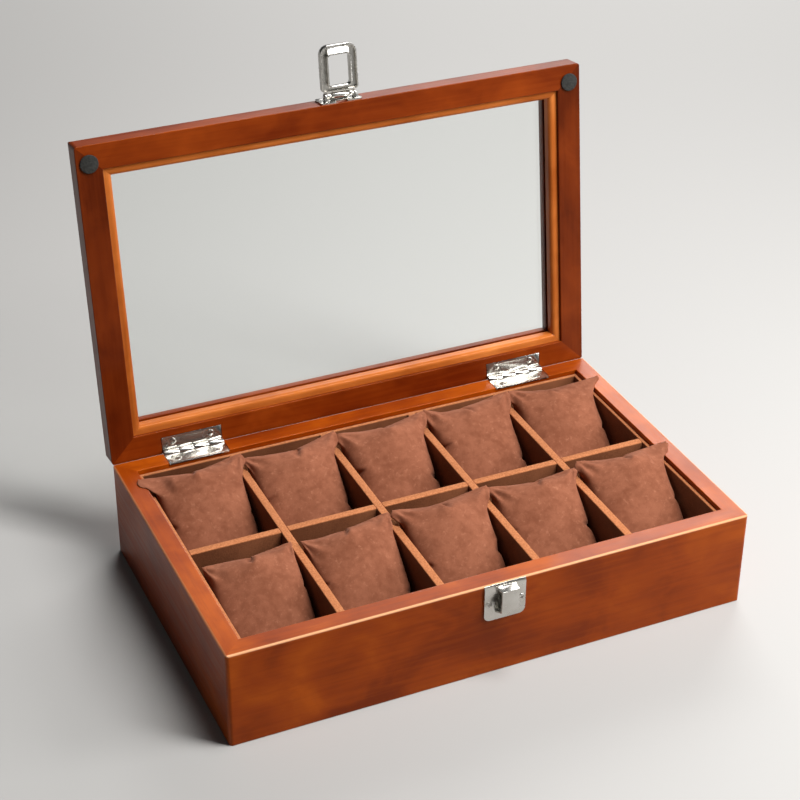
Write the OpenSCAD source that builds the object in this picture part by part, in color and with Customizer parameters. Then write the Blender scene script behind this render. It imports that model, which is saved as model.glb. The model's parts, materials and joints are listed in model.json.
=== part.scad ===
// Wooden watch box: a tray of cushioned compartments under a glazed lid on two butt hinges,
// held shut by a swinging hasp that drops over a catch on the front.
// The origin is the middle of the footprint, on the surface that the box stands on.
// X runs along the front, Y runs from the front to the back, and Z points up.
// The lid stands open at lid_open degrees. All sizes are in millimetres.

/* [Base] */
// Outer width of the base and of the lid
box_w = 340; // [325:1:360]
// Outer depth of the base and of the lid
box_d = 210; // [200:1:225]
// Height of the base walls
base_h = 65; // [60:1:75]
// Thickness of the base walls
wall_t = 12.5; // [11:0.5:14]
// Radius on the four upright corners of the base and of the lid
corner_r = 2.5; // [1:0.5:4]
// Thickness of the bottom panel
bottom_t = 4; // [3:0.5:6]
// Thickness of the felt under the bottom panel
felt_t = 1; // [0.5:0.1:1.5]

/* [Tray] */
// How far the lining boards and the dividers stop below the top of the walls
tray_drop = 3; // [2:0.5:6]
// Thickness of the velvet-covered lining boards and of the floor board
lining_t = 2.2; // [1.5:0.1:3]
// Thickness of the velvet-covered dividers
divider_t = 5; // [4:0.5:6]

/* [Cushions] */
// Width of a cushion between the dividers
cushion_w = 52; // [46:1:54]
// Length of a cushion from its lower seam to its upper seam
cushion_l = 94; // [84:1:95]
// Thickness of a cushion in its middle
cushion_t = 37; // [30:1:40]
// Angle at which a cushion leans back, from the floor
cushion_lean = 40; // [36:0.5:41]

/* [Lid] */
// Thickness of the lid
lid_t = 18; // [16:0.5:22]
// Angle that the lid stands open, from closed
lid_open = 97.5; // [90:0.5:105]
// Gap between the closed lid and the base, which the bumpers and hinges set
lid_gap = 1.2; // [1:0.1:2]
// Width of a lid rail, from its outer face to the glazing rebate
rail_w = 16.3; // [15:0.1:20]
// Radius on the outer top edge of the lid
lid_round = 5.5; // [3:0.5:8]
// Width of the lip and of the bead that hold the glass
bead_w = 5.5; // [4:0.5:7]
// How far the beads sit below the inner face of the lid
bead_drop = 2; // [1:0.5:3]
// Thickness of the glass
glass_t = 3; // [2:0.5:3]
// Thickness of the lip over the glass
lip_t = 6; // [5:0.5:7]
// Diameter of the bumpers
bumper_d = 11.5; // [8:0.5:12]

/* [Hinges] */
// Distance of each hinge from the middle of the box
hinge_x = 116; // [90:1:130]
// Width of a hinge
hinge_w = 40; // [36:1:44]
// Distance from the hinge pin to the edge of a leaf on the base
base_leaf_d = 13; // [10:0.5:14]
// Distance from the hinge pin to the edge of a leaf on the lid
lid_leaf_d = 11; // [10:0.5:12]
// Thickness of a leaf
leaf_t = 1; // [0.8:0.1:1]
// Diameter of the barrel
barrel_d = 5.4; // [5.4:0.1:5.6]
// Diameter of the hinge pin
pin_d = 2.2; // [1.8:0.1:2.4]

/* [Hasp and catch] */
// Distance of the hasp and the catch from the middle of the front
hasp_x = 2.5; // [-5:0.5:5]
// Width of the hasp ring
ring_w = 24.5; // [24:0.5:27]
// Distance from the hasp pin to the far end of the ring
ring_l = 32; // [31:0.5:34]
// Width of the catch plate
catch_w = 27; // [25:0.5:30]
// Height of the catch plate
catch_h = 25; // [23:0.5:27]
// Distance that the catch stands out from its plate
catch_out = 7; // [5:0.5:8]

/* [Hidden] */
$fn = 64;
COLUMNS = 5;
SIDES = ["front", "back", "left", "right"];
ROWS = ["front", "back"];
HANDS = ["left", "right"];

wood = "#9c4a1c";
bead_wood = "#c8722f";
velvet = "#3c2319";
felt = "#2c1c14";
suede = "#8a5540";
nickel = "#c9c6bd";
dark_rubber = "#3a3a35";
clear_glass = [0.8, 0.9, 0.9, 0.3];

// Small clearances and the overshoot of a cut
cut = 1;
slip = 0.05;
board_gap = 0.3;

// Base and tray
arris_r = 1.2;
rebate_w = 6;
floor_z = felt_t + bottom_t;
tray_z = floor_z + lining_t;
tray_top = base_h - tray_drop;
inner_w = box_w - 2*wall_t;
inner_d = box_d - 2*wall_t;
tray_w = inner_w - 2*(board_gap + lining_t);
tray_d = inner_d - 2*(board_gap + lining_t);
column_w = (tray_w - (COLUMNS - 1)*divider_t)/COLUMNS;
row_d = (tray_d - divider_t)/2;
column_pitch = column_w + divider_t;
row_pitch = row_d + divider_t;
lap_z = (tray_z + tray_top)/2;

// Arcs of a cushion: their radius, and how far their centres lie from the cushion's middle
cushion_gap = 0.3;
lens_r = (cushion_l*cushion_l/4 + cushion_t*cushion_t/4)/cushion_t;
lens_in = lens_r - cushion_t/2;

// Lid, measured while it is closed; the pin lies just inside the back top edge of the base
pivot_y = box_d/2 - 0.5;
pivot_z = base_h - 0.4;
lid_z = base_h + lid_gap;
bead_h = lid_t - lip_t - glass_t - bead_drop;
bead_r = 3;
pane_slack = 0.5;
bumper_in = rail_w/2;
bumper_back = 11.5;
bumper_t = lid_gap - slip;

// Hinges
knuckles = 4;
knuckle_w = hinge_w/knuckles;
knuckle_gap = 0.12;
barrel_r = barrel_d/2;
leaf_screw_x = 12.7;
base_screw_y = 8.2;
lid_screw_y = 7.2;
base_seat = base_h - pivot_z;
lid_seat = lid_z - pivot_z;
mortise_slack = 0.4;

// Wood screws with a low domed head
head_r = 2.2;
head_h = 0.5;
sink_h = 0.8;
shank_r = 1.3;
shank_l = 8;
tip_h = 1;
hole_l = 4;

// Hasp: the ring swings on a pin carried by two ears
plate_t = 1.2;
hasp_w = 28;
hasp_z0 = 1;
hasp_z1 = 12.5;
hasp_r = 1.5;
hasp_notch = [8, 2.5];
hasp_screw_x = 5.5;
hasp_screw_z = 9;
hasp_pin_out = 4.2;
hasp_pin_up = 4.5;
hasp_pin_r = 1;
hasp_pin_head_r = 1.5;
hasp_pin_head_h = 0.6;
ear_in = 9.2;
ear_t = 1.2;
ear_r = 2.1;
foot_r = 1.8;
foot_w = 2.8;
foot_t = 1.2;
foot_out = ear_in - 0.2;
curl_r = 2;
curl_w = 11.2;
ring_near = 2.6;
ring_near_r = 2.5;
ring_far_r = 6;
hole_r = 2;
hole_near = 6.2;
hole_far = 25.8;
hole_w = 14.2;
rim_t = 1;
rim_in = 2.2;
lip_in = 2.6;
web_out = 1.2;
hasp_y = -box_d/2 - hasp_pin_out;
hasp_z = lid_z + hasp_pin_up;

// Catch: the ring's opening drops over it. Heights are pairs, the lower one first.
catch_top = base_h - 0.2;
catch_r = 4;
catch_bevel = [0.9, 2.3];
catch_screw_down = 13.1;
catch_screw_in = 2.8;
catch_base_w = 13;
catch_nose_w = 11.2;
catch_base = [45.2, 63.7];
catch_nose = [48.8, 63.9];
catch_skin = 0.9;
catch_slot = [5.6, 1.2];
catch_slot_out = 0.3;
spring_w = 6;
spring_t = 0.6;
spring_out = 3.6;
spring_tip_out = 1;
spring_end = 2;
spring_bend_t = 1.4*spring_t;

// ---------------------------------------------------------------- shared shapes

// Rectangle with round corners, about the origin
module round_rect(w, d, r) {
    square([w - 2*r, d], center = true);
    square([w, d - 2*r], center = true);
    for (x = [-1, 1], y = [-1, 1])
        translate([x*(w/2 - r), y*(d/2 - r)])
            circle(r);
}

// Waste that leaves a radius r on a corner at the origin, where the material lies towards +X and -Y
module corner_waste(r) {
    difference() {
        translate([-cut, -r])
            square([r + cut, r + cut]);
        translate([r, -r])
            circle(r);
    }
}

// Rail along X with mitred ends. The section given has its outer face at x = 0.
module mitred_rail(length, reach, height) {
    half = length/2;
    intersection() {
        translate([-half, 0, 0])
            rotate([90, 0, 90])
                linear_extrude(length)
                    children();
        linear_extrude(height)
            polygon([[-half, 0], [half, 0], [half - reach, reach], [reach - half, reach]]);
    }
}

// One side of a mitred frame of the box's own outline
module frame_side(side, reach, height) {
    along_x = side == "front" || side == "back";
    turn = side == "front" ? 0 : side == "back" ? 180 : side == "left" ? -90 : 90;
    length = along_x ? box_w : box_d;
    out = (along_x ? box_d : box_w)/2;
    rotate([0, 0, turn])
        translate([0, -out, 0])
            mitred_rail(length, reach, height)
                children();
}

// Solid outline of the box with its upright corners rounded
module outline_block(height) {
    linear_extrude(height)
        round_rect(box_w, box_d, corner_r);
}

// Carries what is drawn on the closed lid to the open position
module on_lid() {
    translate([0, pivot_y, pivot_z])
        rotate([-lid_open, 0, 0])
            translate([0, -pivot_y, -pivot_z])
                children();
}

// Screw pointing down, with the underside of its sunk head's rim at z = 0
module screw() {
    rotate_extrude()
        polygon(concat(
            [[0, -shank_l], [shank_r, tip_h - shank_l], [shank_r, -sink_h], [head_r, 0]],
            [for (a = [0:15:90]) [head_r*cos(a), head_h*sin(a)]]
        ));
}

// Hole for that screw through a leaf or plate
module screw_hole() {
    translate([0, 0, -sink_h])
        cylinder(r1 = shank_r, r2 = head_r, h = sink_h);
    translate([0, 0, -hole_l])
        cylinder(r = shank_r, h = hole_l + cut);
}

// ---------------------------------------------------------------- base

// Section of a base wall, with a rebate for the bottom panel and a radius on the outer top edge
module wall_section(top_r) {
    difference() {
        square([wall_t, base_h]);
        translate([wall_t - rebate_w, -cut])
            square([rebate_w + cut, floor_z + cut]);
        translate([0, base_h])
            corner_waste(top_r);
        mirror([0, 1])
            corner_waste(arris_r/2);
        translate([wall_t, base_h])
            mirror([1, 0])
                corner_waste(arris_r/2);
    }
}

module wall(side) {
    color(wood)
        difference() {
            intersection() {
                frame_side(side, wall_t, base_h)
                    wall_section(side == "back" ? arris_r/2 : arris_r);
                outline_block(base_h);
            }
            if (side == "back")
                for (x = [-hinge_x, hinge_x])
                    translate([x, pivot_y, pivot_z])
                        hinge_mortise(base_leaf_d, base_seat - leaf_t, base_seat + cut);
        }
}

module bottom_panel() {
    w = inner_w + 2*(rebate_w - slip);
    d = inner_d + 2*(rebate_w - slip);
    color(wood)
        translate([-w/2, -d/2, felt_t])
            cube([w, d, bottom_t]);
}

module base_felt() {
    w = inner_w + 2*(rebate_w - slip);
    d = inner_d + 2*(rebate_w - slip);
    color(felt)
        translate([-w/2, -d/2, 0])
            cube([w, d, felt_t]);
}

// ---------------------------------------------------------------- tray

module floor_board() {
    w = inner_w - 2*board_gap;
    d = inner_d - 2*board_gap;
    color(velvet)
        translate([-w/2, -d/2, floor_z])
            cube([w, d, lining_t]);
}

// Lining boards: the front and back ones run the full width, and the end ones fit between them
module lining(side) {
    along_x = side == "front" || side == "back";
    away = side == "front" || side == "left" ? -1 : 1;
    h = tray_top - tray_z;
    size = along_x ? [inner_w - 2*board_gap, lining_t, h] : [lining_t, tray_d, h];
    at = along_x ? [0, away*(tray_d + lining_t)/2] : [away*(tray_w + lining_t)/2, 0];
    color(velvet)
        translate([at[0], at[1], tray_z + h/2])
            cube(size, center = true);
}

// Middles of the gaps between the columns
function cross_x(i) = (i - COLUMNS/2)*column_pitch;

// The long divider is slotted from above for the cross dividers
module long_divider() {
    color(velvet)
        difference() {
            translate([-tray_w/2 + slip, -divider_t/2, tray_z])
                cube([tray_w - 2*slip, divider_t, tray_top - tray_z]);
            for (i = [1:COLUMNS - 1])
                translate([cross_x(i) - divider_t/2 - slip, -divider_t/2 - cut, lap_z - slip])
                    cube([divider_t + 2*slip, divider_t + 2*cut, base_h]);
        }
}

// A cross divider is slotted from below, over the long one
module cross_divider(i) {
    color(velvet)
        difference() {
            translate([cross_x(i) - divider_t/2, -tray_d/2 + slip, tray_z])
                cube([divider_t, tray_d - 2*slip, tray_top - tray_z]);
            translate([cross_x(i) - divider_t/2 - cut, -divider_t/2 - slip, tray_z - cut])
                cube([divider_t + 2*cut, divider_t + 2*slip, lap_z - tray_z + cut + slip]);
        }
}

// ---------------------------------------------------------------- cushions

// Lens of two arcs, cushion_l long and cushion_t thick, about the origin
module cushion_section() {
    intersection() {
        translate([0, -lens_in])
            circle(lens_r);
        translate([0, lens_in])
            circle(lens_r);
    }
}

// A cushion leans back in its compartment, with its lower arc on the floor and its upper seam at the back
module cushion(row, i) {
    x = (i - (COLUMNS + 1)/2)*column_pitch;
    y = (row == "front" ? -1 : 1)*row_pitch/2;
    color(suede)
        translate([x - cushion_w/2, y, tray_z + cushion_gap + lens_r - lens_in*cos(cushion_lean)])
            rotate([90, 0, 90])
                linear_extrude(cushion_w)
                    rotate(cushion_lean)
                        cushion_section();
}

// ---------------------------------------------------------------- lid

// Section of a lid rail on the closed lid, with the lip that the glass lies under
module rail_section() {
    difference() {
        union() {
            square([rail_w, lid_t]);
            translate([0, lid_t - lip_t])
                square([rail_w + bead_w, lip_t]);
        }
        translate([0, lid_t])
            corner_waste(lid_round);
        mirror([0, 1])
            corner_waste(arris_r/2);
        translate([rail_w, 0])
            rotate(180)
                corner_waste(arris_r/2);
        translate([rail_w + bead_w, lid_t])
            mirror([1, 0])
                corner_waste(arris_r);
    }
}

module lid_rail(side) {
    color(wood)
        on_lid()
            difference() {
                translate([0, 0, lid_z])
                    intersection() {
                        frame_side(side, rail_w + bead_w, lid_t)
                            rail_section();
                        outline_block(lid_t);
                    }
                if (side == "back")
                    for (x = [-hinge_x, hinge_x])
                        translate([x, pivot_y, pivot_z])
                            hinge_mortise(lid_leaf_d, lid_seat - cut, lid_seat + leaf_t);
            }
}

// A glazing bead is rounded on the edge that faces the opening
module bead_section() {
    difference() {
        translate([rail_w + slip, bead_drop])
            square([bead_w - slip, bead_h]);
        translate([rail_w + bead_w, bead_drop])
            rotate(180)
                corner_waste(bead_r);
    }
}

module glazing_bead(side) {
    color(bead_wood)
        on_lid()
            translate([0, 0, lid_z])
                frame_side(side, rail_w + bead_w, lid_t)
                    bead_section();
}

module glass_pane() {
    inset = rail_w + pane_slack;
    color(clear_glass)
        on_lid()
            translate([inset - box_w/2, inset - box_d/2, lid_z + bead_drop + bead_h])
                cube([box_w - 2*inset, box_d - 2*inset, glass_t]);
}

module lid_bumpers() {
    color(dark_rubber)
        on_lid()
            for (x = [-1, 1])
                translate([x*(box_w/2 - bumper_in), bumper_back - box_d/2, lid_z - bumper_t])
                    cylinder(d = bumper_d, h = bumper_t);
}

// ---------------------------------------------------------------- hinges, about their pin

// Recess from z0 to z1 for a leaf of depth d, and the groove for the barrel
module hinge_mortise(d, z0, z1) {
    w = hinge_w + 2*mortise_slack;
    translate([-w/2, -d - mortise_slack/2, z0])
        cube([w, d + mortise_slack, z1 - z0]);
    rotate([0, 90, 0])
        cylinder(r = barrel_r + mortise_slack, h = w, center = true);
}

// The barrel's knuckles that are numbered in turns, made wider and fatter by grow
module barrel(turns, grow) {
    for (k = turns)
        translate([(k + 0.5)*knuckle_w - hinge_w/2, 0, 0])
            rotate([0, 90, 0])
                cylinder(r = barrel_r + grow, h = knuckle_w + 2*grow - knuckle_gap, center = true);
}

// A leaf of depth d with its lower face at z, and the knuckles that belong to it.
// Its screws sit screw_y from the pin, with their heads on the face at head_z.
module leaf(own, other, d, screw_y, z, head_z) {
    flip = head_z < z + leaf_t/2 ? 180 : 0;
    difference() {
        union() {
            translate([-hinge_w/2, -d, z])
                cube([hinge_w, d, leaf_t]);
            barrel(own, 0);
        }
        barrel(other, knuckle_gap);
        rotate([0, 90, 0])
            cylinder(d = pin_d + 2*slip, h = hinge_w + 2*cut, center = true);
        for (x = [-leaf_screw_x, leaf_screw_x])
            translate([x, -screw_y, head_z])
                rotate([flip, 0, 0])
                    screw_hole();
    }
}

module hinge_base_leaf(x) {
    color(nickel)
        translate([x, pivot_y, pivot_z])
            leaf([0, 2], [1, 3], base_leaf_d, base_screw_y, base_seat - leaf_t, base_seat);
}

module hinge_lid_leaf(x) {
    color(nickel)
        on_lid()
            translate([x, pivot_y, pivot_z])
                leaf([1, 3], [0, 2], lid_leaf_d, lid_screw_y, lid_seat, lid_seat);
}

module hinge_pin(x) {
    color(nickel)
        translate([x, pivot_y, pivot_z])
            rotate([0, 90, 0])
                cylinder(d = pin_d, h = hinge_w + mortise_slack, center = true);
}

module hinge_screws(screw_y, z, flip) {
    for (hand = [-1, 1], x = [-leaf_screw_x, leaf_screw_x])
        translate([hand*hinge_x + x, pivot_y - screw_y, pivot_z + z])
            rotate([flip, 0, 0])
                screw();
}

module hinge_base_screws() {
    color(nickel)
        hinge_screws(base_screw_y, base_seat, 0);
}

module hinge_lid_screws() {
    color(nickel)
        on_lid()
            hinge_screws(lid_screw_y, lid_seat, 180);
}

// ---------------------------------------------------------------- catch

// Turns what is drawn flat, with its face up, to lie against the front of the box
module on_front(x, z) {
    translate([x, -box_d/2, z])
        rotate([90, 0, 0])
            children();
}

// Plate with square upper corners and round lower ones
module catch_outline() {
    translate([0, -catch_h/2]) {
        round_rect(catch_w, catch_h, catch_r);
        translate([-catch_w/2, 0])
            square([catch_w, catch_h/2]);
    }
}

module catch_screw_places() {
    for (x = [-1, 1])
        translate([x*(catch_w/2 - catch_screw_in), catch_top - catch_screw_down - base_h, plate_t])
            children();
}

// The plate's top edge is bevelled, to follow the round edge of the wall
module catch_plate() {
    color(nickel)
        on_front(hasp_x, catch_top)
            difference() {
                linear_extrude(plate_t)
                    catch_outline();
                translate([-catch_w/2 - cut, 0, plate_t])
                    rotate([90, 0, 90])
                        linear_extrude(catch_w + 2*cut)
                            polygon([
                                [-catch_bevel[1], 0],
                                [0, -catch_bevel[0]],
                                [cut, -catch_bevel[0]],
                                [cut, cut],
                                [-catch_bevel[1], cut]
                            ]);
                translate([0, base_h - catch_top, 0])
                    catch_screw_places()
                        screw_hole();
            }
}

// Side outline of the catch body, in from its faces by skin; X runs away from the box
module catch_profile(skin) {
    polygon([
        [0, catch_base[0] + skin],
        [catch_out - skin, catch_nose[0] + skin],
        [catch_out - skin, catch_nose[1] - skin],
        [0, catch_base[1] - skin]
    ]);
}

// Extrudes a side outline across the middle of the catch, standing out from the plate
module across_catch(w) {
    translate([hasp_x + w/2, -box_d/2 - plate_t, 0])
        rotate([90, 0, -90])
            linear_extrude(w)
                children();
}

// Folded strip that is open at both sides and narrows towards its nose, with a slot in its top
module catch_body() {
    y0 = box_d/2 + plate_t;
    y1 = y0 + catch_out;
    color(nickel)
        difference() {
            intersection() {
                across_catch(catch_w)
                    catch_profile(0);
                translate([hasp_x, 0, 0])
                    linear_extrude(base_h)
                        polygon([
                            [-catch_base_w/2, -y0],
                            [-catch_nose_w/2, -y1],
                            [catch_nose_w/2, -y1],
                            [catch_base_w/2, -y0]
                        ]);
            }
            across_catch(catch_w + 2*cut)
                catch_profile(catch_skin);
            translate([
                hasp_x - catch_slot[0]/2,
                -y0 - catch_slot_out - catch_slot[1],
                catch_base[1] - 2*catch_skin
            ])
                cube([catch_slot[0], catch_slot[1], 3*catch_skin]);
        }
}

// Bent leaf inside the catch body
module catch_spring() {
    foot = catch_base[0] + spring_end;
    bend = (catch_base[0] + catch_base[1])/2;
    tip = catch_base[1] - spring_end;
    color(nickel)
        across_catch(spring_w)
            polygon([
                [0, foot],
                [spring_out, bend],
                [spring_tip_out, tip],
                [spring_tip_out - spring_t, tip],
                [spring_out - spring_bend_t, bend],
                [0, foot + 2*spring_t]
            ]);
}

module catch_screws() {
    color(nickel)
        on_front(hasp_x, base_h)
            catch_screw_places()
                screw();
}

// ---------------------------------------------------------------- hasp, on the closed lid

module hasp_screw_places() {
    for (x = [-hasp_screw_x, hasp_screw_x])
        translate([x, hasp_screw_z, plate_t])
            children();
}

module hasp_plate() {
    color(nickel)
        on_lid()
            on_front(hasp_x, lid_z)
                difference() {
                    union() {
                        translate([0, (hasp_z0 + hasp_z1)/2])
                            linear_extrude(plate_t)
                                round_rect(hasp_w, hasp_z1 - hasp_z0, hasp_r);
                        for (x = [-ear_in - ear_t, ear_in])
                            translate([x, hasp_pin_up, 0])
                                hasp_ear();
                        translate([0, hasp_pin_up, 0])
                            hasp_curl();
                    }
                    translate([-hasp_notch[0]/2, hasp_z0 - cut, -cut])
                        cube([hasp_notch[0], hasp_notch[1] + cut, plate_t + 2*cut]);
                    hasp_screw_places()
                        screw_hole();
                    translate([0, hasp_pin_up, hasp_pin_out])
                        rotate([0, 90, 0])
                            cylinder(r = hasp_pin_r, h = hasp_w, center = true);
                }
}

// Ear that carries one end of the pin
module hasp_ear() {
    translate([0, -ear_r, 0])
        cube([ear_t, 2*ear_r, hasp_pin_out]);
    translate([0, 0, hasp_pin_out])
        rotate([0, 90, 0])
            cylinder(r = ear_r, h = ear_t);
}

// Tongue of the plate that curls over the pin between the ring's feet
module hasp_curl() {
    translate([-curl_w/2, curl_r - plate_t, 0])
        cube([curl_w, plate_t, hasp_pin_out]);
    translate([0, 0, hasp_pin_out])
        rotate([0, 90, 0])
            cylinder(r = curl_r, h = curl_w, center = true);
}

module hasp_screws() {
    color(nickel)
        on_lid()
            on_front(hasp_x, lid_z)
                hasp_screw_places()
                    screw();
}

module hasp_pin() {
    half = ear_in + ear_t;
    color(nickel)
        on_lid()
            translate([hasp_x, hasp_y, hasp_z])
                rotate([0, 90, 0]) {
                    cylinder(r = hasp_pin_r, h = 2*half, center = true);
                    for (s = [0, 180])
                        rotate([0, s, 0])
                            translate([0, 0, half])
                                cylinder(r1 = hasp_pin_head_r, r2 = hasp_pin_r, h = hasp_pin_head_h);
                }
}

// Outline of the ring, with rounder corners at its far end; Y runs away from the pin
module ring_outline(grow) {
    w = ring_w - 2*grow;
    near = ring_near + grow;
    far = ring_l - grow;
    far_r = ring_far_r - grow;
    near_r = ring_near_r - grow;
    difference() {
        translate([0, (near + far)/2])
            square([w, far - near], center = true);
        for (m = [0, 1])
            mirror([m, 0]) {
                translate([-w/2, far])
                    corner_waste(far_r);
                translate([-w/2, near])
                    mirror([0, 1])
                        corner_waste(near_r);
            }
    }
}

// Opening of the ring, made larger by grow
module ring_hole(grow) {
    translate([0, (hole_near + hole_far)/2])
        round_rect(hole_w + 2*grow, hole_far - hole_near + 2*grow, hole_r + grow);
}

// The ring drawn flat: Y runs away from the pin, and +Z is the side that faces away from the box
module ring_flat() {
    // Outer rim
    translate([0, 0, -rim_in])
        linear_extrude(rim_in + web_out)
            difference() {
                ring_outline(0);
                ring_outline(rim_t);
            }
    // Rim of the opening
    translate([0, 0, -lip_in])
        linear_extrude(lip_in + web_out)
            difference() {
                ring_hole(rim_t);
                ring_hole(0);
            }
    // Web between the rims
    linear_extrude(web_out)
        difference() {
            ring_outline(rim_t/2);
            ring_hole(rim_t/2);
        }
    // Sloping finger lip inside the far end
    translate([-hole_w/2, 0, 0])
        rotate([90, 0, 90])
            linear_extrude(hole_w)
                polygon([
                    [hole_far + rim_t/2, web_out],
                    [hole_far + rim_t/2, -lip_in],
                    [ring_l - rim_t/2, 0],
                    [ring_l - rim_t/2, web_out]
                ]);
    // Feet that turn on the pin
    for (x = [-foot_out, foot_out - foot_w]) {
        translate([x, 0, 0])
            rotate([0, 90, 0])
                cylinder(r = foot_r, h = foot_w);
        translate([x, 0, web_out - 2*foot_t])
            cube([foot_w, ring_near + rim_t, 2*foot_t]);
    }
}

// The ring stands straight out of the lid's front edge
module hasp_ring() {
    color(nickel)
        on_lid()
            translate([hasp_x, hasp_y, hasp_z])
                rotate([0, 0, 180])
                    difference() {
                        ring_flat();
                        rotate([0, 90, 0])
                            cylinder(r = hasp_pin_r + slip, h = hasp_w, center = true);
                    }
}

// ---------------------------------------------------------------- nodes

for (s = SIDES) {
    wall(s);
    lining(s);
    lid_rail(s);
    glazing_bead(s);
}
bottom_panel();
base_felt();
floor_board();
long_divider();
for (i = [1:COLUMNS - 1]) {
    cross_divider(i);
}
for (r = ROWS, i = [1:COLUMNS]) {
    cushion(r, i);
}
glass_pane();
lid_bumpers();
for (h = HANDS) {
    x = h == "left" ? -hinge_x : hinge_x;
    hinge_base_leaf(x);
    hinge_lid_leaf(x);
    hinge_pin(x);
}
hinge_base_screws();
hinge_lid_screws();
catch_plate();
catch_body();
catch_spring();
catch_screws();
hasp_plate();
hasp_screws();
hasp_pin();
hasp_ring();
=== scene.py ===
"""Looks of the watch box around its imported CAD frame. Lengths are in metres, in the frame of the part."""
import json
import math
import random

import bmesh
import bpy
import numpy as np
from mathutils import Matrix, Vector


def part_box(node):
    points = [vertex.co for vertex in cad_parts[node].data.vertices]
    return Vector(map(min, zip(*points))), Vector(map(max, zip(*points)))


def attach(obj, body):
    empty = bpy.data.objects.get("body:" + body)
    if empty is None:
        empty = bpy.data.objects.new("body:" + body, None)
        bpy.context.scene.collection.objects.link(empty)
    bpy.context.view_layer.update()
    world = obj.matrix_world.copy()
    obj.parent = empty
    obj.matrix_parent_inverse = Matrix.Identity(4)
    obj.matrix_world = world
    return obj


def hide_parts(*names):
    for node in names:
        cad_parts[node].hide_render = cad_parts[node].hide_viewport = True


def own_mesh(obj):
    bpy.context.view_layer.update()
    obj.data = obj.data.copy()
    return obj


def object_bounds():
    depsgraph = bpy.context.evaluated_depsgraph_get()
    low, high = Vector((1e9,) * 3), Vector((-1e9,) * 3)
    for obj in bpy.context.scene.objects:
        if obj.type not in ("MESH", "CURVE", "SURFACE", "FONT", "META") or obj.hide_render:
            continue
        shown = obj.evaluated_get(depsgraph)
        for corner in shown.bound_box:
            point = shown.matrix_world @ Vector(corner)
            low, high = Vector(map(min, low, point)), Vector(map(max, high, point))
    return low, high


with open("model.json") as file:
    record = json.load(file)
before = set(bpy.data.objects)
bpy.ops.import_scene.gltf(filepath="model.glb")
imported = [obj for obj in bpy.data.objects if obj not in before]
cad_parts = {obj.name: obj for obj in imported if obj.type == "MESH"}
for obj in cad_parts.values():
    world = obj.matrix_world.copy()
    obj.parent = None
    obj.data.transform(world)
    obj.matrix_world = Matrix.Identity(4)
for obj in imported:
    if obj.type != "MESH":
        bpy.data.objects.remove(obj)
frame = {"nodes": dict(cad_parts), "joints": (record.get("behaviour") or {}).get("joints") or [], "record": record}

CAD_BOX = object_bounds()
MM = 0.001
SIDES = ("front", "back", "left", "right")
HANDS = ("left", "right")
ROWS = ("front", "back")
COLUMNS = range(1, 6)
NODES = frame["nodes"]
BODY_OF = {n: b for b, nodes in frame["record"]["behaviour"]["bodies"].items() for n in nodes}
LID_HINGE = next(j for j in frame["joints"] if j["name"] == "lid_hinge")
LID_ANGLE = math.radians(LID_HINGE["range_deg"][0])
SCENE = bpy.context.scene


# ---------------------------------------------------------------- camera, lights and floor

# The camera was solved by another program, from corners of the box that were picked in the photo.
CAMERA_AZIMUTH = math.radians(-24.51)
CAMERA_ELEVATION = math.radians(31.36)
CAMERA_ROLL = math.radians(0.43)
CAMERA_TARGET = Vector((0.05195, 0.15274, 0.03257))
CAMERA_DISTANCE = 1.3626
CAMERA_LENS = 87.24
FLOOR_TONE = (0.43, 0.42, 0.405)
FAR_TONE = (0.36, 0.36, 0.35, 1)
LAMPS_REACH = (0.8, 2.8)


def outward(azimuth, elevation):
    """Unit vector from the object towards an azimuth and elevation; azimuth 0 is in front of the box."""
    flat = math.cos(elevation)
    return Vector((math.sin(azimuth)*flat, -math.cos(azimuth)*flat, math.sin(elevation)))


def make_camera():
    back = outward(CAMERA_AZIMUTH, CAMERA_ELEVATION)
    right = Vector((math.cos(CAMERA_AZIMUTH), math.sin(CAMERA_AZIMUTH), 0))
    up = back.cross(right)
    turned_right = math.cos(CAMERA_ROLL)*right + math.sin(CAMERA_ROLL)*up
    data = bpy.data.cameras.new("camera")
    data.lens = CAMERA_LENS
    data.clip_start = 0.01
    camera = bpy.data.objects.new("camera", data)
    SCENE.collection.objects.link(camera)
    camera.matrix_world = Matrix((turned_right, back.cross(turned_right), back)).transposed().to_4x4()
    camera.location = CAMERA_TARGET + CAMERA_DISTANCE*back
    SCENE.camera = camera


def area_light(name, azimuth, elevation, distance, size, power):
    """Oblong soft light that faces the middle of the box, with its angles in degrees."""
    data = bpy.data.lights.new(name, "AREA")
    data.shape = "RECTANGLE"
    data.size, data.size_y = size
    data.energy = power
    light = bpy.data.objects.new(name, data)
    SCENE.collection.objects.link(light)
    middle = (CAD_BOX[0] + CAD_BOX[1])/2
    direction = outward(math.radians(azimuth), math.radians(elevation))
    light.location = middle + distance*direction
    light.rotation_euler = direction.to_track_quat("Z", "Y").to_euler()
    light.visible_camera = False


def make_lights():
    """A long softbox high in front on the right, a weak one low on the right, and one behind the box, which
    the tops of the walls mirror."""
    area_light("key_light", azimuth=42, elevation=62, distance=1.45, size=(0.36, 1.40), power=35)
    area_light("side_light", azimuth=60, elevation=22, distance=0.95, size=(0.35, 0.5), power=5)
    area_light("back_glow", azimuth=144, elevation=29, distance=2.1, size=(1.3, 0.7), power=29)


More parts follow.
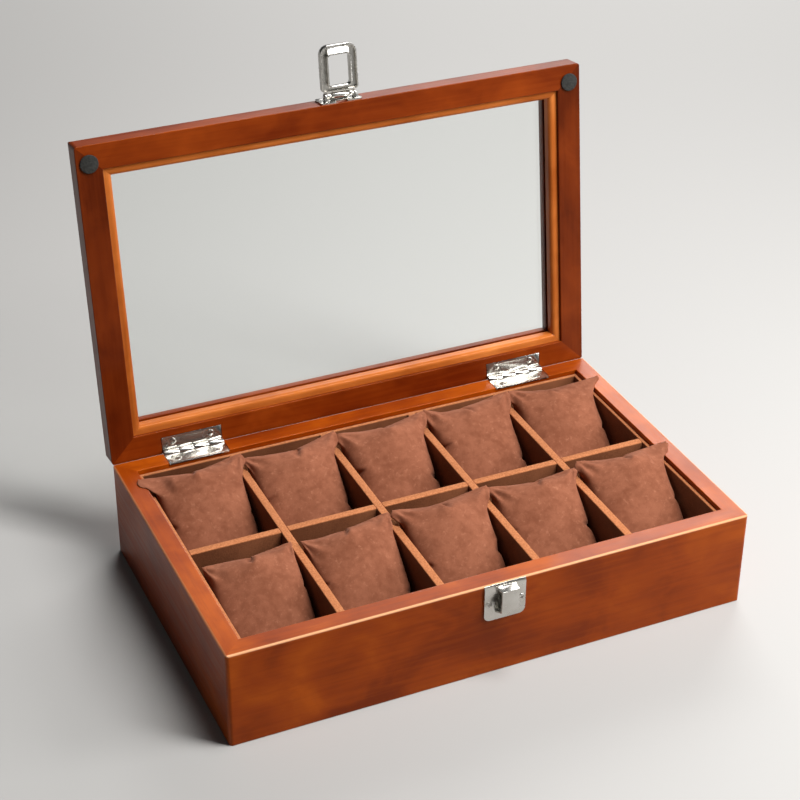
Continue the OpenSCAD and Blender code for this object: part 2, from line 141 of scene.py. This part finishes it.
def make_world():
    """Surroundings that light the box dimly but look pale."""
    world = bpy.data.worlds.new("studio")
    world.use_nodes = True
    tree = world.node_tree
    dim = tree.nodes["Background"]
    dim.inputs["Color"].default_value = (0.9, 0.92, 0.95, 1)
    dim.inputs["Strength"].default_value = 0.05
    pale = tree.nodes.new("ShaderNodeBackground")
    pale.inputs["Color"].default_value = FAR_TONE
    seen = tree.nodes.new("ShaderNodeLightPath").outputs["Is Camera Ray"]
    either = tree.nodes.new("ShaderNodeMixShader")
    tree.links.new(seen, either.inputs["Fac"])
    tree.links.new(dim.outputs["Background"], either.inputs[1])
    tree.links.new(pale.outputs["Background"], either.inputs[2])
    tree.links.new(either.outputs["Shader"], tree.nodes["World Output"].inputs["Surface"])
    SCENE.world = world
    SCENE.view_settings.view_transform = "Standard"


def make_floor():
    """A pale floor. Past the lamps' reach it glows, so that it fades to grey and not to black."""
    half = 40.0
    mesh = bpy.data.meshes.new("floor")
    corners = [(-half, -half, 0), (half, -half, 0), (half, half, 0), (-half, half, 0)]
    mesh.from_pydata(corners, [], [(0, 1, 2, 3)])
    floor = bpy.data.objects.new("floor", mesh)
    SCENE.collection.objects.link(floor)
    material = Material("pale_floor")
    length = material.node("ShaderNodeVectorMath", {0: material.coordinates}, operation="LENGTH")
    glow = material.ranged(length.outputs["Value"], *LAMPS_REACH)
    material.set(base_color=FLOOR_TONE, roughness=0.6, specular_ior_level=0.2, emission_color=FAR_TONE,
                 emission_strength=glow)
    mesh.materials.append(material.block)


# ---------------------------------------------------------------- material building

class Material:
    """A Principled material. Its patterns read the object's own coordinates, so they ride with the piece."""

    def __init__(self, name):
        self.block = bpy.data.materials.new(name)
        self.block.use_nodes = True
        self.tree = self.block.node_tree
        self.shader = self.tree.nodes["Principled BSDF"]
        self.output = self.tree.nodes["Material Output"]
        self.coordinates = self.node("ShaderNodeTexCoord").outputs["Object"]

    def node(self, kind, inputs=None, **settings):
        made = self.tree.nodes.new(kind)
        for key, value in settings.items():
            setattr(made, key, value)
        for key, value in (inputs or {}).items():
            self.put(made.inputs[key], value)
        return made

    def put(self, socket, value):
        if isinstance(value, bpy.types.NodeSocket):
            self.tree.links.new(value, socket)
        else:
            socket.default_value = value

    def set(self, **values):
        """Sets the shader's sockets, named in lower case with _ for a space. Colours are RGB."""
        for key, value in values.items():
            name = key.replace("_", " ").title().replace("Ior", "IOR")
            if isinstance(value, tuple) and len(value) == 3:
                value = (*value, 1)
            self.put(self.shader.inputs[name], value)

    def rotated(self, vector, angle):
        """The vector turned about X, which takes the open lid's coordinates back to the closed lid's."""
        return self.node("ShaderNodeVectorRotate", {"Vector": vector, "Angle": angle},
                         rotation_type="X_AXIS").outputs["Vector"]

    def scaled(self, vector, scale, offset=(0, 0, 0)):
        return self.node("ShaderNodeVectorMath", {0: vector, 1: scale, 2: offset},
                         operation="MULTIPLY_ADD").outputs["Vector"]

    def noise(self, vector, scale, detail=2.0, roughness=0.5, distortion=0.0):
        inputs = {"Vector": vector, "Scale": scale, "Detail": detail, "Roughness": roughness,
                  "Distortion": distortion}
        return self.node("ShaderNodeTexNoise", inputs).outputs["Fac"]

    def ranged(self, value, low, high, to_low=0.0, to_high=1.0, smooth=True):
        """Maps the value from low..high to to_low..to_high."""
        return self.node("ShaderNodeMapRange", {"Value": value, "From Min": low, "From Max": high,
                                                "To Min": to_low, "To Max": to_high},
                         interpolation_type="SMOOTHSTEP" if smooth else "LINEAR").outputs["Result"]

    def maths(self, operation, a, b):
        return self.node("ShaderNodeMath", {0: a, 1: b}, operation=operation).outputs["Value"]

    def mix(self, factor, a, b, blend="MIX"):
        """Mixes two colours, each a socket or RGB."""
        made = self.node("ShaderNodeMix", data_type="RGBA", blend_type=blend, clamp_factor=True)
        self.put(made.inputs["Factor"], factor)
        for socket, value in ((made.inputs[6], a), (made.inputs[7], b)):
            self.put(socket, (*value, 1) if isinstance(value, tuple) else value)
        return made.outputs[2]

    def bump(self, height, distance, strength=1.0, normal=None):
        inputs = {"Height": height, "Distance": distance, "Strength": strength}
        if normal is not None:
            inputs["Normal"] = normal
        return self.node("ShaderNodeBump", inputs).outputs["Normal"]


# ---------------------------------------------------------------- materials

WALL_TONES = ((0.155, 0.017, 0.0006), (0.258, 0.036, 0.0010), (0.400, 0.072, 0.0020))
RAIL_TONES = ((0.110, 0.011, 0.0010), (0.180, 0.024, 0.0020), (0.270, 0.044, 0.0040))
STILE_TONES = ((0.070, 0.007, 0.0010), (0.118, 0.015, 0.0020), (0.195, 0.030, 0.0040))
BEAD_TONES = ((0.310, 0.068, 0.0090), (0.450, 0.118, 0.0200), (0.600, 0.185, 0.0400))
# Lighter tone painted in a thin band along the outer top arris of the walls: partly worn-thin stain, partly a
# painted highlight. The strength for each side is part of the painted highlight: strong on the lit front and
# right, weak on the shaded left, none at the back.
WORN_AND_LIT_ARRIS_TONE = (0.850, 0.460, 0.2400)
ARRIS_WEAR_AND_HIGHLIGHT = {"front": 0.8, "right": 0.8, "left": 0.3, "back": 0}
ARRIS_BAND = (-1.5*MM, -0.5*MM)
GRAIN_DEPTH = 0.08*MM


def wood(name, along_x, tones, on_lid=False, seed=0, arris=(0, 0), wear_and_highlight=0):
    """Stained and lacquered wood whose grain runs along X, or else along Y, on the closed box. The stain is
    cloudy, over a fine grain. A lighter tone is painted along the arris, which lies at (half the width, height):
    partly worn-thin stain, partly a painted highlight."""
    rng = random.Random(seed)
    offset = tuple(rng.uniform(-5, 5) for _ in range(3))
    m = Material(name)
    place = m.rotated(m.coordinates, -LID_ANGLE) if on_lid else m.coordinates

    def drawn_out(share):
        """The coordinates, shrunk to a share along the grain, so that a pattern is drawn out along it."""
        return m.scaled(place, (share, 1, 1) if along_x else (1, share, 1), offset)

    cloud = m.noise(drawn_out(0.65), 12, 3, 0.5, 0.9)
    mottle = m.noise(drawn_out(0.75), 36, 3, 0.6, 0.5)
    grain = drawn_out(0.045)
    fibre = m.noise(grain, 420, 3, 0.6)
    pores = m.noise(grain, 1500, 2, 0.6)
    stain = m.maths("ADD", m.maths("MULTIPLY", cloud, 0.62), m.maths("MULTIPLY", mottle, 0.38))
    base = m.mix(m.ranged(stain, 0.36, 0.52), tones[0], tones[1])
    base = m.mix(m.ranged(stain, 0.49, 0.66), base, tones[2])
    base = m.mix(m.ranged(fibre, 0.42, 0.74, 0.0, 0.20), base, tones[2])
    base = m.mix(m.ranged(fibre, 0.52, 0.26, 0.0, 0.28), base, tones[0])
    base = m.mix(m.ranged(pores, 0.38, 0.24, 0.0, 0.35), base, tones[0])
    # Painted highlight, with worn-thin stain: the arris tone is mixed in where the point lies in the band at both
    # the outer face and the top.
    if wear_and_highlight:
        split = m.node("ShaderNodeSeparateXYZ", {"Vector": place}).outputs
        across = m.maths("ABSOLUTE", split["Y" if along_x else "X"], 0.0)
        outer = m.ranged(across, *(arris[0] + edge for edge in ARRIS_BAND))
        upper = m.ranged(split["Z"], *(arris[1] + edge for edge in ARRIS_BAND))
        base = m.mix(m.maths("MULTIPLY", m.maths("MULTIPLY", outer, upper), wear_and_highlight), base, WORN_AND_LIT_ARRIS_TONE)
    height = m.maths("ADD", m.maths("MULTIPLY", fibre, 0.6), m.maths("MULTIPLY", pores, 0.4))
    skin = m.noise(m.coordinates, 120, 1, 0.4)
    m.set(base_color=base, roughness=m.ranged(fibre, 0.3, 0.7, 0.34, 0.44), specular_ior_level=0.28,
          specular_tint=(1.0, 0.36, 0.06), coat_weight=0.08, coat_roughness=0.10,
          normal=m.bump(height, GRAIN_DEPTH, 0.4), coat_normal=m.bump(skin, GRAIN_DEPTH, 0.3))
    return m.block


def board(name):
    """Plain plywood of the bottom panel."""
    m = Material(name)
    grain = m.noise(m.scaled(m.coordinates, (0.1, 1, 1)), 160, 3, 0.6)
    m.set(base_color=m.mix(m.ranged(grain, 0.3, 0.7), (0.24, 0.12, 0.05), (0.38, 0.22, 0.11)),
          roughness=0.75, normal=m.bump(grain, 0.0002, 0.4))
    return m.block


def velvet(name, top=None):
    """Brown velvet. What reaches the height top, if there is one, is the tan edge of a board."""
    m = Material(name)
    nap = m.noise(m.coordinates, 1500, 2, 0.7)
    brushed = m.noise(m.coordinates, 45, 3, 0.6)
    pile = m.mix(m.ranged(nap, 0.3, 0.7), (0.120, 0.040, 0.016), (0.200, 0.068, 0.028))
    pile = m.mix(m.ranged(brushed, 0.35, 0.7, 0.0, 0.5), pile, (0.260, 0.092, 0.040))
    m.set(roughness=0.95, specular_ior_level=0.1, sheen_weight=0.30, sheen_roughness=0.45,
          sheen_tint=(0.8, 0.42, 0.25), normal=m.bump(nap, 0.0003, 0.6))
    if top is None:
        m.set(base_color=pile)
        return m.block
    height = m.node("ShaderNodeSeparateXYZ", {"Vector": m.coordinates}).outputs["Z"]
    speckle = m.noise(m.coordinates, 900, 3, 0.7)
    tan = m.mix(m.ranged(speckle, 0.34, 0.66), (0.350, 0.120, 0.045), (0.500, 0.190, 0.080))
    m.set(base_color=m.mix(m.ranged(height, top - 0.9*MM, top - 0.45*MM), pile, tan))
    return m.block


def felt(name):
    m = Material(name)
    fibres = m.noise(m.coordinates, 900, 4, 0.8, 1.5)
    m.set(base_color=m.mix(m.ranged(fibres, 0.3, 0.7), (0.030, 0.017, 0.011), (0.070, 0.042, 0.030)),
          roughness=1.0, specular_ior_level=0.1, sheen_weight=0.3, normal=m.bump(fibres, 0.0004, 0.7))
    return m.block


def suede(name):
    """Soft brown suede with a fine nap, cloudy where it has been stroked one way or the other."""
    m = Material(name)
    nap = m.noise(m.coordinates, 1500, 3, 0.7)
    cloud = m.noise(m.coordinates, 60, 3, 0.55, 0.4)
    stroke = m.noise(m.coordinates, 210, 3, 0.6, 0.3)
    fleck = m.noise(m.coordinates, 330, 3, 0.65)
    colour = m.mix(m.ranged(cloud, 0.30, 0.70), (0.200, 0.065, 0.032), (0.265, 0.092, 0.048))
    colour = m.mix(m.ranged(stroke, 0.38, 0.68, 0.0, 0.32), colour, (0.360, 0.135, 0.074))
    colour = m.mix(m.ranged(stroke, 0.48, 0.28, 0.0, 0.32), colour, (0.165, 0.050, 0.024))
    colour = m.mix(m.ranged(nap, 0.30, 0.70, 0.0, 0.25), colour, (0.170, 0.053, 0.026))
    colour = m.mix(m.ranged(fleck, 0.55, 0.75, 0.0, 0.35), colour, (0.450, 0.190, 0.110))
    m.set(base_color=colour, roughness=0.92, specular_ior_level=0.12, sheen_weight=0.12,
          sheen_roughness=0.4, sheen_tint=(0.95, 0.60, 0.45), normal=m.bump(nap, 0.0002, 0.4))
    return m.block


# Share of the glass that is plainly see-through, so that real glass would mirror more than this does
GLARE_FREE = 0.94


def glass(name):
    """Clear glass with little glare, which lets lamps through, so that it casts hardly any shadow."""
    m = Material(name)
    m.set(base_color=(0.97, 0.99, 0.98), roughness=0.0, transmission_weight=1.0, ior=1.45)
    clear = m.node("ShaderNodeBsdfTransparent", {"Color": (0.985, 0.995, 0.99, 1)})
    is_shadow = m.node("ShaderNodeLightPath").outputs["Is Shadow Ray"]
    share = m.maths("MAXIMUM", is_shadow, GLARE_FREE)
    either = m.node("ShaderNodeMixShader", {"Fac": share, 1: m.shader.outputs["BSDF"],
                                            2: clear.outputs["BSDF"]})
    m.put(m.output.inputs["Surface"], either.outputs["Shader"])
    return m.block


def rubber(name):
    m = Material(name)
    grain = m.noise(m.coordinates, 900, 2, 0.6)
    m.set(base_color=m.mix(m.ranged(grain, 0.3, 0.7), (0.012, 0.012, 0.010), (0.028, 0.028, 0.025)),
          roughness=0.65, specular_ior_level=0.3, normal=m.bump(grain, 0.0001, 0.4))
    return m.block


def nickel(name):
    """Polished plating, a little hazy in places."""
    m = Material(name)
    haze = m.noise(m.coordinates, 90, 2, 0.5)
    m.set(base_color=m.mix(m.ranged(haze, 0.35, 0.65), (0.60, 0.58, 0.54), (0.52, 0.50, 0.46)),
          metallic=1.0, roughness=m.ranged(haze, 0.35, 0.65, 0.22, 0.28))
    return m.block


# ---------------------------------------------------------------- carried-over nodes

def paint(node, material):
    NODES[node].data.materials.clear()
    NODES[node].data.materials.append(material)


def finished_copy(node, material, bevel, segments=2):
    """A copy of a CAD node with its sharp edges broken, which stands for the node."""
    mesh = NODES[node].data.copy()
    piece = bpy.data.objects.new(node + "_finished", mesh)
    SCENE.collection.objects.link(piece)
    weld(mesh)
    mesh.materials.clear()
    mesh.materials.append(material)
    edges = piece.modifiers.new("broken_edges", "BEVEL")
    edges.width = bevel
    edges.segments = segments
    edges.limit_method = "ANGLE"
    edges.angle_limit = math.radians(30)
    edges.harden_normals = True
    mesh.shade_smooth()
    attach(piece, BODY_OF[node])
    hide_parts(node)
    return piece


def weld(mesh):
    """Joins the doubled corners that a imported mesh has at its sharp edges."""
    bm = bmesh.new()
    bm.from_mesh(mesh)
    bmesh.ops.remove_doubles(bm, verts=bm.verts, dist=1e-6)
    bmesh.ops.dissolve_limit(bm, angle_limit=math.radians(0.5), verts=bm.verts, edges=bm.edges)
    bm.to_mesh(mesh)
    bm.free()


def make_wood():
    half_width = {"X": CAD_BOX[1].x, "Y": -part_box("front_wall")[0].y}
    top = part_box("front_wall")[1].z
    for i, side in enumerate(SIDES):
        along_x = side in ("front", "back")
        edge = (half_width["Y" if along_x else "X"], top)
        grain = wood(f"{side}_wall_wood", along_x, WALL_TONES, seed=i, arris=edge, wear_and_highlight=ARRIS_WEAR_AND_HIGHLIGHT[side])
        paint(f"{side}_wall", grain)
        tones = RAIL_TONES if along_x else STILE_TONES
        paint(f"lid_{side}_rail", wood(f"lid_{side}_wood", along_x, tones, True, 10 + i))
        paint(f"glazing_bead_{side}", wood(f"bead_{side}_wood", along_x, BEAD_TONES, True, 20 + i))
    paint("bottom_panel", board("plywood"))


def make_tray():
    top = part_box("long_divider")[1].z
    edged = velvet("velvet_board", top)
    boards = [f"{side}_lining" for side in SIDES] + ["long_divider"]
    boards += [f"cross_divider_{i}" for i in range(1, 5)]
    for node in boards:
        finished_copy(node, edged, 0.5*MM)
    paint("floor_board", velvet("velvet_floor"))
    paint("base_felt", felt("felt"))


def islands(mesh):
    """The mesh's separate solids, each as an array of its corners. Both are sorted by place, because a set
    gives them in another order on each run."""
    bm = bmesh.new()
    bm.from_mesh(mesh)
    left = set(bm.verts)
    found = []
    while left:
        reached = {left.pop()}
        edge_of_search = list(reached)
        while edge_of_search:
            near = {e.other_vert(v) for v in edge_of_search for e in v.link_edges} - reached
            reached |= near
            edge_of_search = list(near)
        left -= reached
        found.append(np.array(sorted(tuple(v.co) for v in reached)))
    bm.free()
    return sorted(found, key=lambda corners: tuple(corners[0]))


RECESS_LENGTH = 2.5*MM
RECESS_WIDTH = 0.55*MM
RECESS_DEPTH = 0.7*MM


def cut_recesses(piece, outwards):
    """Cuts a cross recess into the top of each screw of the piece, whose heads face outwards."""
    rng = random.Random(piece.name)
    cutter_bm = bmesh.new()
    turn_to_head = outwards.to_track_quat("Z", "Y").to_matrix().to_4x4()
    for corners in islands(piece.data):
        heights = corners @ np.array(outwards)
        top = Vector(corners[np.argmax(heights)])
        centre = Vector((corners.min(0) + corners.max(0))/2)
        place = centre + outwards*(top - centre).dot(outwards)
        spin = Matrix.Rotation(rng.uniform(0, math.pi/2), 4, "Z")
        bar = (RECESS_LENGTH, RECESS_WIDTH, 2*RECESS_DEPTH)
        crossbar = (RECESS_WIDTH, RECESS_LENGTH, 2*RECESS_DEPTH*0.96)
        for size in (bar, crossbar):
            shape = Matrix.Translation(place) @ turn_to_head @ spin @ Matrix.Diagonal((*size, 1))
            bmesh.ops.create_cube(cutter_bm, size=1, matrix=shape)
    cutter_mesh = bpy.data.meshes.new("recess_cutter")
    cutter_bm.to_mesh(cutter_mesh)
    cutter_bm.free()
    cutter = bpy.data.objects.new("recess_cutter", cutter_mesh)
    SCENE.collection.objects.link(cutter)
    cut = piece.modifiers.new("recess", "BOOLEAN")
    cut.operation = "DIFFERENCE"
    cut.solver = "EXACT"
    cut.use_self = True
    cut.object = cutter
    piece.modifiers.move(len(piece.modifiers) - 1, 0)
    bpy.context.view_layer.update()
    mesh = bpy.data.meshes.new_from_object(piece.evaluated_get(bpy.context.evaluated_depsgraph_get()))
    piece.modifiers.clear()
    piece.data = mesh
    bpy.data.objects.remove(cutter)


def make_hardware():
    plated = nickel("nickel")
    for hand in HANDS:
        finished_copy(f"{hand}_hinge_base_leaf", plated, 0.22*MM)
        finished_copy(f"{hand}_hinge_lid_leaf", plated, 0.22*MM)
        finished_copy(f"{hand}_hinge_pin", plated, 0.2*MM)
    for node in ("catch_plate", "catch_body", "catch_spring", "hasp_plate", "hasp_pin", "hasp_ring"):
        finished_copy(node, plated, 0.25*MM)
    to_lid = Matrix.Rotation(LID_ANGLE, 3, "X")
    facing = {
        "hinge_base_screws": Vector((0, 0, 1)),
        "hinge_lid_screws": to_lid @ Vector((0, 0, -1)),
        "catch_screws": Vector((0, -1, 0)),
        "hasp_screws": to_lid @ Vector((0, -1, 0)),
    }
    for node, outwards in facing.items():
        cut_recesses(finished_copy(node, plated, 0.12*MM), outwards)
    finished_copy("lid_bumpers", rubber("rubber"), 0.4*MM, 3)
    paint("glass_pane", glass("clear_glass"))


# ---------------------------------------------------------------- cushions

PILLOW_W = 79*MM
PILLOW_L = 99*MM
PILLOW_CORNER = 10*MM
PILLOW_CELLS = (46, 64)
SIMULATED_SCALE = 10
CLOTH_FRAMES = 24
LEAN = math.radians(40)
LEAN_RISE = 2.4*MM
SEAM_RIDGE = 0.8*MM
FOLD_HEIGHT = 1.3*MM
ROOM_AT_BOARDS = (0.3*MM, 0.55*MM)
ROOM_OVER_WALLS = 0.3*MM
GIVE_ACROSS = 5*MM
GIVE_DEEP = 4*MM
GIVE_DOWN = 4*MM
RIM_FADE = 5*MM
FRAME_FADE = 6*MM
DROOP_SHARE = 0.75
DROOP_BACKWARD = 1.2
# Where each cushion's upper left and upper right corners reach, in mm across and along it from its middle.
# Ear tips were picked in the photo, another program worked out their reaches from them, and the
# numbers here are those, rounded and changed.
EARS = {
    "back": (
        ((35, 43), (32, 44)),
        ((31, 41), (34, 45)),
        ((28, 42), (34, 44)),
        ((28, 45), (33, 44)),
        ((29, 44), (41, 41)),
    ),
    "front": (
        ((30, 36), (29, 38)),
        ((30, 37), (30, 41)),
        ((31, 41), (34, 42)),
        ((28, 41), (32, 39)),
        ((28, 43), (40, 42)),
    ),
}


def sheet_grid():
    """Where the corners of the two sheets lie, each from -1 to 1 across and along, and the sheet's side."""
    nu, nv = PILLOW_CELLS
    places, index = [], {}
    for side in (1, -1):
        for i in range(nu + 1):
            for j in range(nv + 1):
                if side == -1 and (i in (0, nu) or j in (0, nv)):
                    index[i, j, side] = index[i, j, 1]
                    continue
                index[i, j, side] = len(places)
                places.append((2*i/nu - 1, 2*j/nv - 1, side))
    faces = []
    for side in (1, -1):
        for i in range(nu):
            for j in range(nv):
                ring = [index[i, j, side], index[i + 1, j, side],
                        index[i + 1, j + 1, side], index[i, j + 1, side]]
                faces.append(ring if side == 1 else ring[::-1])
    return np.array(places, float), faces


def sewn_sheets(name, seed, grid, faces):
    """Two sheets sewn together round their edges, a little plump to start with, at SIMULATED_SCALE."""
    rng = random.Random(seed)
    across, along, side = grid.T
    x, y = across*PILLOW_W/2, along*PILLOW_L/2
    corner_x = np.maximum(np.abs(x) - (PILLOW_W/2 - PILLOW_CORNER), 0)
    corner_y = np.maximum(np.abs(y) - (PILLOW_L/2 - PILLOW_CORNER), 0)
    slant = np.hypot(corner_x, corner_y)
    pull = np.where(slant > 0, np.maximum(corner_x, corner_y)/np.maximum(slant, 1e-9), 1)
    x -= np.sign(x)*corner_x*(1 - pull)
    y -= np.sign(y)*corner_y*(1 - pull)
    dome = (1 - across**2)*(1 - along**2)
    ripple = np.zeros_like(dome)
    for _ in range(6):
        a, b, phase = rng.uniform(0.6, 2.4), rng.uniform(0.6, 2.4), rng.uniform(0, 6.3)
        ripple += np.sin(4*a*across + 4*b*along + phase)/6
    z = side*dome*6*MM + ripple*np.sqrt(dome)*1.6*MM
    mesh = bpy.data.meshes.new(name)
    mesh.from_pydata((np.column_stack([x, y, z])*SIMULATED_SCALE).tolist(), [], faces)
    pillow = bpy.data.objects.new(name, mesh)
    SCENE.collection.objects.link(pillow)
    return pillow


def read_points(mesh):
    points = np.empty(3*len(mesh.vertices), np.float32)
    mesh.vertices.foreach_get("co", points)
    return points.reshape(-1, 3).astype(float)


def write_points(mesh, points):
    mesh.vertices.foreach_set("co", points.astype(np.float32).ravel())
    mesh.update()


def puff_up(pillows):
    """Blows the sewn sheets up with cloth simulation, all at once, and keeps the result as their mesh."""
    rng = random.Random(7)
    for pillow in pillows:
        cloth = pillow.modifiers.new("cloth", "CLOTH")
        bending = rng.uniform(5, 16)
        cloth.settings.quality = 7
        cloth.settings.mass = 0.3
        cloth.settings.tension_stiffness = 60
        cloth.settings.compression_stiffness = 15
        cloth.settings.shear_stiffness = 8
        cloth.settings.bending_stiffness = bending
        cloth.settings.use_pressure = True
        cloth.settings.uniform_pressure_force = 10 + 0.5*bending
        cloth.settings.effector_weights.gravity = 0
        cloth.collision_settings.use_collision = False
        cloth.point_cache.frame_start = 1
        cloth.point_cache.frame_end = CLOTH_FRAMES
    for step in range(1, CLOTH_FRAMES + 1):
        SCENE.frame_set(step)
    depsgraph = bpy.context.evaluated_depsgraph_get()
    for pillow in pillows:
        points = read_points(pillow.evaluated_get(depsgraph).data)
        pillow.modifiers.clear()
        write_points(pillow.data, points)
    SCENE.frame_set(1)


def soft_limit(value, limit, give):
    """The value, eased so that it never passes limit on either side."""
    size = np.abs(value)
    over = np.maximum(size - (limit - give), 0)
    eased = limit - give + give*(1 - np.exp(-over/give))
    return np.sign(value)*np.where(size > limit - give, eased, size)


def smooth(value):
    """Rises smoothly from 0 to 1 as the value does."""
    t = np.clip(value, 0, 1)
    return t*t*(3 - 2*t)


def gather(points, grid, tip, rng):
    """Raises a few small folds that run from the corner tip into the pillow's faces."""
    away = points - points[tip]
    radius = np.hypot(away[:, 0], away[:, 1])
    turn = np.arctan2(away[:, 1], away[:, 0])
    reach = np.exp(-((radius - 8*MM)/(8*MM))**2)
    clear_of_seam = smooth((1 - np.abs(grid[:, :2]).max(1))/0.12)
    fold = np.sin(rng.uniform(8, 11)*turn + rng.uniform(0, 6.3))
    points[:, 2] += grid[:, 2]*FOLD_HEIGHT*fold*reach*clear_of_seam


def draw_out_ears(points, grid, ears, rng):
    """Moves the pillow's upper corners to where the ears reach, with the cloth near them, and evens out
    the seam between them to a shallow dip."""
    across, along = grid[:, 0], grid[:, 1]
    moved = points.copy()
    for hand, (reach, length) in zip((-1, 1), ears):
        tip = points[np.argmax(hand*across + along)]
        target = np.array([hand*reach*MM, length*MM, rng.uniform(1.5, 5)*MM])
        share = smooth((hand*across - 0.2)/0.8)*smooth((along - 0.3)/0.7)
        moved += share[:, None]*(target - tip)
    seam = np.isclose(along, 1)
    order = np.argsort(across[seam])
    seam_across, seam_v = across[seam][order], moved[seam, 1][order]
    lowest_at = rng.uniform(-0.45, 0.25)
    from_lowest = seam_across - lowest_at
    dip = 1 - np.minimum(np.abs(from_lowest)/(1 - np.sign(from_lowest)*lowest_at), 1)**1.5
    even = np.interp(seam_across, (-1, 1), (seam_v[0], seam_v[-1])) - rng.uniform(3, 5.5)*MM*dip
    change = np.interp(across, seam_across, 0.8*(even - seam_v))
    moved[:, 1] += smooth((along + 0.1)/1.1)*change
    for hand in (-1, 1):
        gather(moved, grid, np.argmax(hand*across + along), rng)
    return moved


def frame_x():
    """Half the width of the opening inside the lid's beads."""
    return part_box("glazing_bead_right")[0].x


def half_room():
    """Half the width and half the depth of a compartment, less the room that a cushion leaves."""
    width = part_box("cross_divider_2")[0].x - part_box("cross_divider_1")[1].x
    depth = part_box("back_lining")[0].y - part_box("long_divider")[1].y
    return width/2 - ROOM_AT_BOARDS[0], depth/2 - ROOM_AT_BOARDS[1]


def place_cushion(pillow, node, grid, ears, seed):
    """Shrinks the pillow to life size, leans it back in its compartment and fits it between the boards.
    An ear under the frame of the lid droops. Known faults: the outer ears of back_cushion_1, back_cushion_5
    and front_cushion_5 cut into the walls' inner top edges, and the back row's ears run into each other."""
    low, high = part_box(node)
    middle = (low + high)/2
    tray_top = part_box("long_divider")[1].z
    floor_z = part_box("floor_board")[1].z
    wall_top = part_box("front_wall")[1].z
    half_width, half_depth = half_room()
    points = read_points(pillow.data)/SIMULATED_SCALE
    on_seam = np.maximum(np.abs(grid[:, 0]), np.abs(grid[:, 1])) == 1
    away = points[:, :2]/np.maximum(np.linalg.norm(points[:, :2], axis=1), 1e-9)[:, None]
    points[:, :2] += on_seam[:, None]*away*SEAM_RIDGE
    u, v, w = draw_out_ears(points, grid, ears, random.Random(seed)).T
    x = u
    y = v*math.cos(LEAN) - w*math.sin(LEAN)
    z = v*math.sin(LEAN) + w*math.cos(LEAN) + middle.z + LEAN_RISE
    inside = 1 - smooth((z - tray_top - 0.3*MM)/RIM_FADE)
    x = inside*soft_limit(x, half_width, GIVE_ACROSS) + (1 - inside)*x
    under_frame = smooth((np.abs(x + middle.x) - frame_x())/FRAME_FADE + 1)
    droop = DROOP_SHARE*under_frame*np.maximum(z - wall_top, 0)
    z -= droop
    y = soft_limit(y + DROOP_BACKWARD*droop, half_depth, GIVE_DEEP)
    over_wall = np.abs(x + middle.x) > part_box("right_wall")[0].x - 0.1*MM
    z = np.where(over_wall, np.maximum(z, wall_top + ROOM_OVER_WALLS), z)
    least = floor_z + 0.2*MM
    sunk = np.maximum(least + GIVE_DOWN - z, 0)
    z = np.where(sunk > 0, least + GIVE_DOWN*np.exp(-sunk/GIVE_DOWN), z)
    write_points(pillow.data, np.column_stack([x + middle.x, y + middle.y, z]))


def make_cushions():
    """Ten cushions. An ear that stands under the frame of the lid droops, and a cushion that reaches under the
    frame gets a copy of its mesh.
    """
    grid, faces = sheet_grid()
    names = [f"{row}_cushion_{i}" for row in ROWS for i in COLUMNS]
    ears = [EARS[row][i - 1] for row in ROWS for i in COLUMNS]
    pillows = [sewn_sheets(f"{name}_cover", 100 + k, grid, faces) for k, name in enumerate(names)]
    puff_up(pillows)
    cover = suede("suede")
    for k, (name, pillow) in enumerate(zip(names, pillows)):
        place_cushion(pillow, name, grid, ears[k], 200 + k)
        pillow.data.materials.append(cover)
        pillow.data.shade_smooth()
        fine = pillow.modifiers.new("fine", "SUBSURF")
        fine.levels = 1
        fine.render_levels = 1
        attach(pillow, name)
        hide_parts(name)
        points = read_points(pillow.data)
        under_frame = points[np.abs(points[:, 0]) > frame_x()]
        if len(under_frame):
            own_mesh(pillow)


# ---------------------------------------------------------------- the scene

make_camera()
make_lights()
make_world()
make_floor()
make_wood()
make_tray()
make_hardware()
make_cushions()
